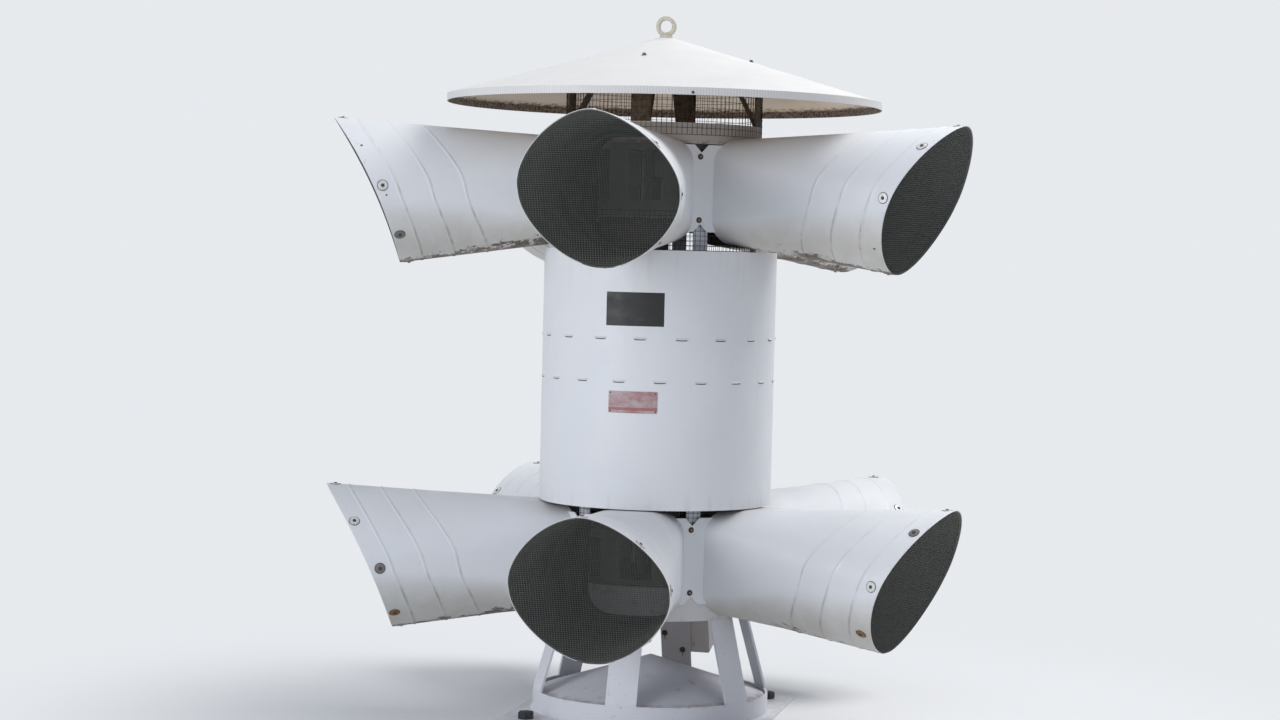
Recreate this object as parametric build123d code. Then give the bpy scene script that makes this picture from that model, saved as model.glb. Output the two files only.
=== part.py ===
from build123d import *
import math
import os

os.makedirs("parts", exist_ok=True)

# Millimetres. The origin lies on the vertical axis at the underside of the base plate, +Z up.
# Angles round the axis are counted from the front (-Y) towards +X.

# Base plate and its bolt holes
plate_side = 950.0
plate_thickness = 12.0
bolt_spacing = 804.0
bolt_hole_radius = 17.5

# Base drum and the conical cover inside its rim
drum_radius = 465.0
drum_wall = 9.0
drum_height = 80.0
foot_ring_reach = 9.0
foot_ring_height = 7.0
ledge_width = 24.0
ledge_thickness = 5.0
cover_gap = 6.0
cover_sink = 10.0
cover_lip = 7.0
cover_thickness = 3.0
cover_rise = 138.0

# Legs between the drum and the lower housing
leg_count = 6
leg_width = 122.0
leg_thickness = 9.0
leg_turn = -2.0

# Housings: the ring radius, their plates and the ported drums behind the horns
ring_radius = 374.0
ring_wall = 5.0
housing_plate = 6.0
skirt_bottom = 408.0
skirt_height = 129.0
lower_collar_top = 782.0
upper_collar_bottom = 1947.0
end_ring_bottom = 2234.0
end_ring_height = 79.0
end_ring_radius = 384.0
stator_radius = 345.0
stator_wall = 6.0
collar_height = 46.0
port_count = 10
port_width = 150.0
port_border = 24.0

# Rotors inside the ported drums
rotor_clearance = 8.0
rotor_vanes = 10
rotor_disc = 6.0
vane_thickness = 5.0
vane_reach = 120.0

# Horns
horn_count = 5
lower_axis_height = 645.0
upper_axis_height = 2070.0
horn_tilt = 2.46
horn_length = 1141.5
mouth_half_height = 283.7
mouth_half_width = 303.0
throat_half_width = 187.0
horn_flare = 0.104
throat_squareness = 3.6
mouth_squareness = 2.0
horn_strips = 36
horn_sheet = 3.0
mouth_slant = 22.2

# Seam flanges where neighbouring horns are bolted together
flange_width = 39.0
flange_lap = 12.0
flange_height = 332.0
flange_drop = 5.5
notch_depth = 30.0

# Screens in the mouths
screen_setback = 14.0
screen_sheet = 1.6
screen_rim = 22.0
screen_rim_lift = 3.2

# Shroud with its pressed louvres
shroud_radius = 457.0
shroud_wall = 2.0
shroud_bottom = 840.0
shroud_height = 986.0
louvre_count = 18
louvre_length = 48.0
louvre_drop = 9.0
louvre_reach = 5.0
louvre_heights = (1334.0, 1497.0)
louvre_turn = 2.8

# Frame inside the shroud: posts, shroud brackets, motor and shaft
post_width = 58.0
post_thickness = 8.0
bracket_inset = 60.0
bracket_width = 40.0
motor_plate_height = 960.0
motor_plate_thickness = 12.0
motor_radius = 190.0
motor_length = 560.0
motor_end = 70.0
motor_fins = 24
fin_depth = 12.0
shaft_radius = 30.0

# Screens behind the gaps and round the neck
gap_screen_overlap = 30.0
gap_screen_reach = 36.0
wire = 3.0
gap_wires = 24
gap_hoops = 2
neck_wires = 32
neck_hoops = 3
neck_hang = 46.0

# Roof, its brackets and the lifting eye
roof_radius = 852.5
roof_rim_height = 2390.0
roof_band = 28.0
roof_apex_height = 2657.0
roof_flat_radius = 35.0
roof_sheet = 3.0
bracket_count = 4
bracket_strap = 95.0
strap_thickness = 8.0
strap_lean = 48.0
eye_outer = 42.0
eye_hole = 22.0
eye_bar_sides = 8
eye_collar_radius = 26.0
eye_collar_height = 12.0
eye_sink = 6.0

# Junction box on the outside of the back leg
box_width = 200.0
box_height = 210.0
box_depth = 96.0
box_side_shift = -39.0
box_height_above_rim = 84.0
box_lid = 6.0

# Running clearance between pieces that are bolted or hung on each other
fit = 0.3

# Places that follow from the sizes above
rim_height = plate_thickness + drum_height
horn_pitch = 360 / horn_count
seam_angle = horn_pitch / 2
seam_angles = [seam_angle + horn_pitch * i for i in range(horn_count)]
flange_face = ring_radius + fit
seam_radius = flange_face + horn_sheet
skirt_top = skirt_bottom + skirt_height
collar_radius = ring_radius - wire - fit
post_radius = collar_radius - ring_wall
shroud_top = shroud_bottom + shroud_height
lower_stator_bottom = skirt_top
lower_stator_top = lower_collar_top - collar_height
upper_stator_bottom = upper_collar_bottom + collar_height
upper_stator_top = end_ring_bottom
end_ring_top = end_ring_bottom + end_ring_height
roof_slope = math.atan2(roof_apex_height - roof_rim_height - roof_band, roof_radius - roof_flat_radius)
leg_foot_radius = drum_radius - leg_thickness / 2
leg_head_radius = ring_radius - leg_thickness / 2
lower_plate_top = lower_stator_top + housing_plate
upper_plate_bottom = upper_stator_bottom - housing_plate


def upright_ring(outer, wall, bottom, height):
    """A plain tube round the vertical axis."""
    tube = Cylinder(outer, height, align=(Align.CENTER, Align.CENTER, Align.MIN))
    bore = Cylinder(outer - wall, height, align=(Align.CENTER, Align.CENTER, Align.MIN))
    return Pos(0, 0, bottom) * (tube - bore)


def upright_disc(radius, bottom, height):
    return Pos(0, 0, bottom) * Cylinder(radius, height, align=(Align.CENTER, Align.CENTER, Align.MIN))


def turned(points):
    """A solid of revolution from a closed outline of (radius, height) points."""
    outline = make_face(Polyline(*[(r, 0, z) for r, z in points], close=True))
    return revolve(outline, Axis.Z, 360)


def base_plate():
    slab = Pos(0, 0, plate_thickness / 2) * Box(plate_side, plate_side, plate_thickness)
    half = bolt_spacing / 2
    for x in (-half, half):
        for y in (-half, half):
            slab -= Pos(x, y, plate_thickness / 2) * Cylinder(bolt_hole_radius, 2 * plate_thickness)
    return slab


def base_drum():
    wall = upright_ring(drum_radius, drum_wall, plate_thickness, drum_height)
    foot = turned([
        (drum_radius - drum_wall / 2, plate_thickness),
        (drum_radius + foot_ring_reach, plate_thickness),
        (drum_radius, plate_thickness + foot_ring_height),
        (drum_radius - drum_wall / 2, plate_thickness + foot_ring_height),
    ])
    ledge_top = rim_height - cover_sink - cover_lip
    inner = drum_radius - drum_wall
    ledge = turned([
        (inner + drum_wall / 2, ledge_top),
        (inner - ledge_width, ledge_top),
        (inner - ledge_width, ledge_top - ledge_thickness),
        (inner + drum_wall / 2, ledge_top - ledge_thickness),
    ])
    return wall + foot + ledge


def drum_cover():
    edge = drum_radius - drum_wall - cover_gap
    edge_top = rim_height - cover_sink
    ledge_top = edge_top - cover_lip
    apex = rim_height + cover_rise
    return turned([
        (0, apex),
        (edge, edge_top),
        (edge, ledge_top),
        (edge - cover_thickness, ledge_top),
        (edge - cover_thickness, edge_top - cover_thickness),
        (0, apex - cover_thickness),
    ])


def leg():
    """A flat strap that leans in from the drum's rim to the skirt's lower edge."""
    side = make_face(Polyline(
        (0, -drum_radius, rim_height),
        (0, -drum_radius + leg_thickness, rim_height),
        (0, -ring_radius + leg_thickness, skirt_bottom),
        (0, -ring_radius, skirt_bottom),
        close=True,
    ))
    strap = extrude(side, amount=leg_width / 2, both=True, dir=(1, 0, 0))
    return strap & upright_disc(drum_radius, rim_height, skirt_bottom - rim_height)


def junction_box():
    """A shallow box with a lipped lid on the outer face of the back leg."""
    rise = skirt_bottom - rim_height
    lean = math.degrees(math.atan2(leg_foot_radius - leg_head_radius, rise))
    middle = box_height_above_rim + box_height / 2
    leg_radius = drum_radius - (leg_foot_radius - leg_head_radius) * middle / rise
    body = Box(box_width, box_depth, box_height, align=(Align.CENTER, Align.MAX, Align.CENTER))
    lid = Box(box_width + 2 * box_lid, box_lid, box_height + 2 * box_lid,
              align=(Align.CENTER, Align.MAX, Align.CENTER))
    body = fillet(body.edges().filter_by(Axis.Y), box_lid)
    lid = fillet(lid.edges().filter_by(Axis.Y), box_lid)
    box = body + Pos(0, -box_depth, 0) * lid
    box = Pos(box_side_shift, -leg_radius, rim_height + middle) * (Rot(-lean, 0, 0) * box)
    return Rot(0, 0, 180 + leg_turn) * box


def lower_skirt():
    """The housing's lower ring, closed on top by the plate that carries the ported drum."""
    ring = upright_ring(ring_radius, ring_wall, skirt_bottom, skirt_height)
    plate = upright_disc(ring_radius - ring_wall / 2, skirt_top - housing_plate, housing_plate)
    hub = upright_disc(shaft_radius + fit, skirt_top - housing_plate, housing_plate)
    return ring + plate - hub


def stator(bottom, top, collar_bottom, collar_top, plate_bottom):
    """A ported drum with a collar ring at one end, to which the frame posts are bolted."""
    drum = upright_ring(stator_radius, stator_wall, bottom, top - bottom)
    port_height = top - bottom - 2 * port_border
    middle = (top + bottom) / 2
    cutter = Pos(0, -stator_radius, middle) * Box(port_width, 4 * stator_wall, port_height)
    for i in range(port_count):
        drum -= Rot(0, 0, 360 / port_count * i) * cutter
    collar = upright_ring(collar_radius, ring_wall, collar_bottom, collar_top - collar_bottom)
    plate = upright_disc(collar_radius - ring_wall / 2, plate_bottom, housing_plate)
    hole = upright_disc(shaft_radius + fit, plate_bottom, housing_plate)
    return drum + collar + plate - hole


def rotor(bottom, top):
    """A drum of straight vanes between two discs, keyed on the shaft."""
    outer = stator_radius - stator_wall - rotor_clearance
    low = bottom + rotor_clearance
    height = top - bottom - 2 * rotor_clearance
    wheel = upright_disc(outer, low, rotor_disc)
    wheel += upright_ring(outer, vane_reach, low + height - rotor_disc, rotor_disc)
    wheel += upright_disc(2 * shaft_radius, low, height / 2)
    vane = Pos(0, vane_reach / 2 - outer, low + height / 2) * Box(vane_thickness, vane_reach, height)
    for i in range(rotor_vanes):
        wheel += Rot(0, 0, 360 / rotor_vanes * i) * vane
    return wheel - upright_disc(shaft_radius + fit, low, height)


def strip_outline(half_width, half_height, squareness, inset, distance):
    """Corners of a closed outline across the horn's axis: round at squareness 2, squarer above.

    Each side has its own direction, the same at every distance, so the strips between two
    outlines are flat.
    """
    power = squareness / (squareness - 1)
    step = 2 * math.pi / horn_strips
    reach = []
    for i in range(horn_strips):
        across = half_width * abs(math.cos(step * i))
        up = half_height * abs(math.sin(step * i))
        reach.append((across ** power + up ** power) ** (1 / power) - inset)
    corners = []
    for i in range(horn_strips):
        one, two = step * i, step * (i + 1)
        near, far = reach[i], reach[(i + 1) % horn_strips]
        corners.append((
            (near * math.sin(two) - far * math.sin(one)) / math.sin(step),
            (far * math.cos(one) - near * math.cos(two)) / math.sin(step),
            distance,
        ))
    return corners


def horn_cone(inset):
    """The horn's outer form from flat strips, or its inside when inset is the sheet's thickness."""
    seam_chord = seam_radius * math.cos(math.radians(seam_angle))
    start = seam_chord / 2
    end = horn_length + mouth_half_height
    width_flare = (mouth_half_width - throat_half_width) / (horn_length - seam_chord - flange_width / 2)

    def outline(distance, squareness):
        past_mouth = distance - horn_length
        half_width = mouth_half_width + width_flare * past_mouth
        half_height = mouth_half_height + horn_flare * past_mouth
        return strip_outline(half_width, half_height, squareness, inset, distance)

    low = outline(start, throat_squareness)
    high = outline(end, mouth_squareness)
    faces = [make_face(Polyline(*low, close=True)), make_face(Polyline(*high, close=True))]
    for i in range(horn_strips):
        j = (i + 1) % horn_strips
        faces.append(make_face(Polyline(low[i], low[j], high[j], high[i], close=True)))
    return Solid(Shell(faces))


def horn_place(axis_height):
    """From the horn's own frame (x across, y up, z outward) to the front horn's place."""
    tilt = math.radians(horn_tilt)
    return Plane(
        origin=(0, 0, axis_height),
        x_dir=(1, 0, 0),
        z_dir=(0, -math.cos(tilt), -math.sin(tilt)),
    ).location


def beyond_mouth(distance):
    """A block that covers everything outside the slanted mouth plane."""
    slant = math.radians(mouth_slant)
    plane = Plane(
        origin=(0, 0, distance),
        x_dir=(1, 0, 0),
        z_dir=(0, -math.sin(slant), math.cos(slant)),
    )
    size = 4 * mouth_half_width
    return plane.location * Box(size, size, size, align=(Align.CENTER, Align.CENTER, Align.MIN))


def flange_plate(side, axis_height):
    """The flange on one side of the front horn; the right one laps over its neighbour."""
    lift = horn_sheet if side > 0 else 0
    reach = flange_width + throat_half_width / 2
    middle = axis_height - flange_drop
    plate = Pos(
        side * (flange_lap - reach) / 2,
        -(flange_face + lift + horn_sheet / 2),
        middle,
    ) * Box(flange_lap + reach, horn_sheet, flange_height)
    for end in (-1, 1):
        tip = middle + end * (flange_height / 2 - notch_depth)
        wide = 2 * notch_depth
        wedge = make_face(Polyline(
            (0, 0, tip),
            (wide, 0, tip + end * wide),
            (-wide, 0, tip + end * wide),
            close=True,
        ))
        plate -= extrude(wedge, amount=2 * seam_radius, dir=(0, -1, 0))
    return Rot(0, 0, side * seam_angle) * plate


def horn(axis_height):
    place = horn_place(axis_height)
    body = place * horn_cone(0)
    for side in (-1, 1):
        body += flange_plate(side, axis_height)
    body -= place * horn_cone(horn_sheet)
    body -= place * beyond_mouth(horn_length)
    hub = upright_disc(flange_face, axis_height - 2 * mouth_half_height, 4 * mouth_half_height)
    collar = upright_disc(end_ring_radius + fit, end_ring_bottom - fit, mouth_half_height)
    return body - hub - collar


def mouth_screen(axis_height):
    """A thin closed panel just inside the mouth, with a raised strip round its rim."""
    place = horn_place(axis_height)
    inside = horn_cone(horn_sheet + fit)
    back = horn_length - screen_setback
    sheet = inside - beyond_mouth(back) & beyond_mouth(back - screen_sheet)
    strip = inside - beyond_mouth(back + screen_rim_lift) & beyond_mouth(back)
    strip -= horn_cone(horn_sheet + screen_rim)
    return place * (sheet + strip)


def shroud():
    """The tall cylinder between the tiers, with two rows of small pressed louvres."""
    wall = upright_ring(shroud_radius, shroud_wall, shroud_bottom, shroud_height)
    hood_side = make_face(Polyline(
        (0, -shroud_radius + shroud_wall / 2, 0),
        (0, -shroud_radius - louvre_reach, -louvre_drop),
        (0, -shroud_radius + shroud_wall / 2, -louvre_drop),
        close=True,
    ))
    hood = extrude(hood_side, amount=louvre_length / 2, both=True, dir=(1, 0, 0))
    pitch = 360 / louvre_count
    for row, height in enumerate(louvre_heights):
        start = louvre_turn + (0 if row else pitch / 2)
        for i in range(louvre_count):
            wall += Rot(0, 0, start + pitch * i) * (Pos(0, 0, height) * hood)
    return wall


def frame_post(angle):
    """A flat bar that joins the collars of the two housings at a seam."""
    length = upper_plate_bottom - lower_plate_top
    bar = Pos(0, -post_radius + post_thickness / 2, lower_plate_top) * Box(
        post_width, post_thickness, length, align=(Align.CENTER, Align.CENTER, Align.MIN))
    return Rot(0, 0, angle) * (bar & upright_disc(post_radius, lower_plate_top, length))


def shroud_bracket(angle, height):
    """A short flat arm from a post to the inside of the shroud."""
    reach = shroud_radius - shroud_wall
    arm = Pos(0, -(reach + post_radius) / 2, height) * Box(
        bracket_width, reach - post_radius + 2 * post_thickness, post_thickness)
    arm &= upright_disc(reach, 0, roof_apex_height)
    arm -= upright_disc(post_radius, 0, roof_apex_height)
    return Rot(0, 0, angle) * arm


def motor():
    """A finned motor standing on its plate between the posts, with the shaft of both rotors."""
    inner = post_radius - post_thickness
    low = motor_plate_height + motor_plate_thickness
    body = upright_disc(motor_radius, low, motor_length)
    fin = Pos(0, -motor_radius, low + motor_length / 2) * Box(
        fin_depth / 2, 2 * fin_depth, motor_length - 2 * motor_end)
    for i in range(motor_fins):
        body += Rot(0, 0, 360 / motor_fins * i) * fin
    body += upright_disc(inner, motor_plate_height, motor_plate_thickness)
    low_end = lower_stator_bottom + rotor_clearance
    high_end = upper_stator_top - rotor_clearance
    return body + upright_disc(shaft_radius, low_end, high_end - low_end)


def wire_cage(radius, bottom, height, wires, hoops):
    """Upright wires joined by hoops round the vertical axis."""
    cage = None
    step = (height - wire) / (hoops - 1)
    for i in range(hoops):
        hoop = upright_ring(radius, wire, bottom + step * i, wire)
        cage = hoop if cage is None else cage + hoop
    upright = Pos(0, -radius + wire / 2, bottom + height / 2) * Box(wire, wire * 0.9, height)
    uprights = [Rot(0, 0, 360 / wires * i) * upright for i in range(wires)]
    return cage.fuse(*uprights)


def end_ring():
    """The ring on top of the upper housing, closed below by its plate."""
    ring = upright_ring(end_ring_radius, ring_wall, end_ring_bottom, end_ring_height)
    plate = upright_disc(end_ring_radius - ring_wall / 2, end_ring_bottom, housing_plate)
    return ring + plate


def roof_underside(radius):
    """Height of the roof's lower skin at a radius."""
    return roof_rim_height + roof_band - roof_sheet / math.cos(roof_slope) + (
        roof_radius - radius) * math.tan(roof_slope)


def roof_bracket():
    """A V of two flat straps: one upright on the end ring, one leaning in to the roof."""
    outer = end_ring_radius - ring_wall
    foot = end_ring_bottom + housing_plate
    top = roof_underside(outer) + strap_thickness
    upright = Pos(0, -outer + strap_thickness / 2, foot) * Box(
        bracket_strap, strap_thickness, top - foot + strap_lean,
        align=(Align.CENTER, Align.CENTER, Align.MIN))
    lean_top = outer - strap_thickness - strap_lean
    inner_side = make_face(Polyline(
        (0, -outer + strap_thickness / 2, foot),
        (0, -outer + 3 * strap_thickness / 2, foot),
        (0, -lean_top + strap_thickness, top + strap_lean),
        (0, -lean_top, top + strap_lean),
        close=True,
    ))
    inner = extrude(inner_side, amount=bracket_strap / 2, both=True, dir=(1, 0, 0))
    under_roof = turned([
        (0, foot),
        (outer, foot),
        (outer, roof_underside(outer)),
        (0, roof_underside(0)),
    ])
    return (upright + inner) & under_roof


def roof():
    """A shallow sheet cone with a flat top and an upright rim band."""
    skin = roof_sheet / math.cos(roof_slope)
    top = roof_rim_height + roof_band
    return turned([
        (0, roof_apex_height),
        (roof_flat_radius, roof_apex_height),
        (roof_radius, top),
        (roof_radius, roof_rim_height),
        (roof_radius - roof_sheet, roof_rim_height),
        (roof_radius - roof_sheet, roof_underside(roof_radius - roof_sheet)),
        (roof_flat_radius, roof_apex_height - skin),
        (0, roof_apex_height - skin),
    ])


def eyebolt():
    """A lifting eye on a round collar, standing on the roof's flat top."""
    collar = upright_disc(eye_collar_radius, roof_apex_height, eye_collar_height)
    middle = roof_apex_height + eye_collar_height + eye_outer - eye_sink
    bar_radius = (eye_outer - eye_hole) / 2
    bar = []
    for i in range(eye_bar_sides):
        turn = 2 * math.pi * (i + 0.5) / eye_bar_sides
        bar.append((eye_hole + bar_radius * (1 + math.cos(turn)), bar_radius * math.sin(turn)))
    return collar + Pos(0, 0, middle) * (Rot(90, 0, 0) * turned(bar))


def save(name, shape):
    shape.label = name
    export_step(shape, f"parts/{name}.step")


def write_base():
    save("base_plate", base_plate())
    save("base_drum", base_drum())
    save("drum_cover", drum_cover())
    strap = leg()
    for i in range(leg_count):
        save(f"leg_{i + 1}", Rot(0, 0, leg_turn + 360 / leg_count * i) * strap)
    save("junction_box", junction_box())


def write_housings():
    save("lower_skirt", lower_skirt())
    save("lower_stator", stator(
        lower_stator_bottom, lower_stator_top,
        lower_stator_top - housing_plate, lower_collar_top, lower_stator_top))
    save("upper_stator", stator(
        upper_stator_bottom, upper_stator_top,
        upper_collar_bottom, upper_stator_bottom + housing_plate, upper_plate_bottom))
    save("lower_rotor", rotor(lower_stator_bottom, lower_stator_top))
    save("upper_rotor", rotor(upper_stator_bottom, upper_stator_top))
    save("upper_end_ring", end_ring())


def write_tier(name, axis_height):
    one = horn(axis_height)
    screen = mouth_screen(axis_height)
    screens = []
    for i in range(horn_count):
        turn = Rot(0, 0, horn_pitch * i)
        save(f"{name}_horn_{i + 1}", turn * one)
        screens.append(turn * screen)
    save(f"{name}_mouth_screens", Compound(children=screens))


def write_middle():
    save("shroud", shroud())
    save("frame_posts", Compound(children=[frame_post(a) for a in seam_angles]))
    brackets = []
    for height in (shroud_bottom + bracket_inset, shroud_top - bracket_inset):
        for angle in seam_angles:
            brackets.append(shroud_bracket(angle, height))
    save("shroud_brackets", Compound(children=brackets))
    save("motor", motor())
    low = lower_collar_top - gap_screen_overlap
    save("lower_gap_screen", wire_cage(
        ring_radius, low, shroud_bottom + gap_screen_reach - low, gap_wires, gap_hoops))
    high = upper_collar_bottom + gap_screen_overlap
    low = shroud_top - gap_screen_reach
    save("upper_gap_screen", wire_cage(ring_radius, low, high - low, gap_wires, gap_hoops))


def write_top():
    low = end_ring_top - neck_hang
    radius = end_ring_radius + fit + wire
    high = roof_underside(radius) - fit
    save("neck_screen", wire_cage(radius, low, high - low, neck_wires, neck_hoops))
    strap = roof_bracket()
    for i in range(bracket_count):
        save(f"roof_bracket_{i + 1}", Rot(0, 0, 360 / bracket_count * i) * strap)
    save("roof", roof())
    save("eyebolt", eyebolt())


write_base()
write_housings()
write_tier("lower", lower_axis_height)
write_tier("upper", upper_axis_height)
write_middle()
write_top()
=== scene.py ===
import bpy
from math import asin, atan, atan2, copysign, cos, pi, radians, sin, sqrt, tau
from mathutils import Matrix, Vector


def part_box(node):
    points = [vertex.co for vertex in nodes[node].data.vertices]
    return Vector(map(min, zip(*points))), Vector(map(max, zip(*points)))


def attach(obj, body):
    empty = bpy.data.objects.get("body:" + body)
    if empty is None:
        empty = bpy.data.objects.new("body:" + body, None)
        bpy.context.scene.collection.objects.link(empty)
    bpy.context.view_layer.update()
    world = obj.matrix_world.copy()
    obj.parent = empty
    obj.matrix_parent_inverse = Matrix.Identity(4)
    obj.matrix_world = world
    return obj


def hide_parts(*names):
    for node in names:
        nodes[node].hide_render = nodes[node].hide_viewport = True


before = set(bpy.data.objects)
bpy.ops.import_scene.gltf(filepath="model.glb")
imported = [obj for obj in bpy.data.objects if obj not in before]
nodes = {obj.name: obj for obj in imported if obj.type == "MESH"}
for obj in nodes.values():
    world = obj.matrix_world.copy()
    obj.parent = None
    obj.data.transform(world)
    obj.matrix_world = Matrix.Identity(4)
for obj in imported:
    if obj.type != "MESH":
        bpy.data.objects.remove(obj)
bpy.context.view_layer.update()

# Metres, in the part's frame: the origin under the base plate, +Z up, the front horns towards -Y.
# Angles round the axis are counted from the front towards +X.

# Camera, as fitted to the photograph
camera_distance = 10.660
camera_azimuth = radians(11.83)
camera_height = 1.8124
camera_yaw = radians(-0.386)
camera_pitch = radians(-2.259)
camera_roll = radians(1.407)
camera_lens = 76.06
camera_sensor = 36.0

# Backdrop, floor and light
backdrop_colour = (0.80, 0.82, 0.85)
floor_colour = (0.78, 0.79, 0.80)
floor_fade = (0.9, 3.0)
floor_half = 60.0
ambient_colour = (0.86, 0.91, 1.0)
ambient_strength = 0.55
light_target = (0, 0, 1.4)

# Horns
horn_count = 5
horn_pitch = tau / horn_count
seam_angle = horn_pitch / 2
axis_heights = {"lower": 0.645, "upper": 2.070}
horn_tilt = radians(2.46)
horn_length = 1.1510
mouth_half_height = 0.2840
mouth_half_width = 0.3040
throat_half_width = 0.1870
height_flare = 0.104
throat_squareness = 3.6
hub_squareness = 9.0
mouth_squareness = 1.57
horn_sheet = 0.003
mouth_slant = radians(22.7)
lip_curve_radius = 1.880
lip_fold = 0.0008
front_trim = 0.0162
hub_radius = 0.3743
crown_radius = 0.3843
crown_height = 2.2337
seam_radius = 0.3773
flange_width = 0.039
flange_lap = 0.012
flange_height = 0.332
flange_drop = 0.0055
notch_depth = 0.030
seam_shift = 0.010
collar_edges = {"lower": 0.780, "upper": 1.949}
throat_plate_setback = 0.001
tier_border = 1.3
bottom_drop = 0.164
seam_bolt_height = 0.1206
seam_bolt_offset = 0.015

# Ribs pressed round each horn, counted behind the lip
rib_places = (0.087, 0.212, 0.341)
rib_width = 0.014
rib_lift = 0.0020
rib_edge = 0.005
rib_blend = 0.0012
rib_shadow = 0.004

# Rows of the horns' skins, counted behind the lip, and the UV of the flanges, clear of any dirt
horn_columns = 128
lip_rows = (0.0, 0.0015, 0.004, 0.035, 0.07)
row_after_rib = 0.067
hub_rows = 7
flange_place = (0.5, 0.3)

# Screens
screen_setback = 0.006
mouth_mesh_cell = (0.0096, 0.0083)
mouth_mesh_phase = 0.35
mouth_wire = 0.00065
mouth_wire_step = 0.06
screen_edge = 0.0005
screen_rim = 0.0015
screen_rim_wire = 0.0012
bird_wire = 0.0009
bird_mesh_across = 0.020
bird_mesh_up = {"lower_gap_screen": 0.019, "upper_gap_screen": 0.019, "neck_screen": 0.0256}

# Roof: fine upright crimps round its rim, drawn only as stripes of painted shade, and V brackets of strap
# under it
rim_crimps = 470
roof_radius = 0.8525
roof_flat_radius = 0.035
roof_apex = 2.657
roof_rim_height = 2.418
roof_slope = (roof_apex - roof_rim_height) / (roof_radius - roof_flat_radius)
roof_sheet = 0.003
bracket_turn = radians(-2)
bracket_radius = 0.374
bracket_foot = 2.316
bracket_width = 0.077
bracket_sheet = 0.006
bracket_lean = 0.52
bracket_tab = 0.050
roof_bolt_radius = 0.343
rim_bolt_turn = radians(18.7)
rim_bolt_height = 2.399
eye_height = 2.7045
eye_radius = 0.032
eye_bar = 0.0096

# Fasteners: a head is given as its radius and height, and a bolt as its washer's radius,
# its width across flats and its height
washer_radius = 0.019
washer_thickness = 0.0024
washer_shadow_width = 0.0024
washer_bolt = (0.0068, 0.0038)
washers_a_mouth = 8
washer_setback = 0.035
small_washer = 0.0016
screw_stub = (0.005, 0.0006)
bare_hole_size = (0.0035, 0.0006)
seam_bolt = (0.0115, 0.0075, 0.005)
roof_bolt = (0.010, 0.012, 0.007)
rim_bolt = (0.0055, 0.0025)
laid_on = 0.0004

# Base: the nuts are given as their width across flats and height
plate_margin = 0.026
anchor_place = 0.402
anchor_turn = 0.4
anchor_nut = (0.056, 0.028)

# The corners of a square
square = ((-1, -1), (1, -1), (1, 1), (-1, 1))
scene = bpy.context.scene


def add_node(tree, kind, inputs=None, **settings):
    """A new node, each of its inputs set to a value or joined to a socket."""
    made = tree.nodes.new(kind)
    for key, value in settings.items():
        setattr(made, key, value)
    for key, value in (inputs or {}).items():
        if isinstance(value, bpy.types.NodeSocket):
            tree.links.new(value, made.inputs[key])
        else:
            made.inputs[key].default_value = value
    return made


def put(name, data):
    """A new object in the scene."""
    made = bpy.data.objects.new(name, data)
    scene.collection.objects.link(made)
    return made


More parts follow.
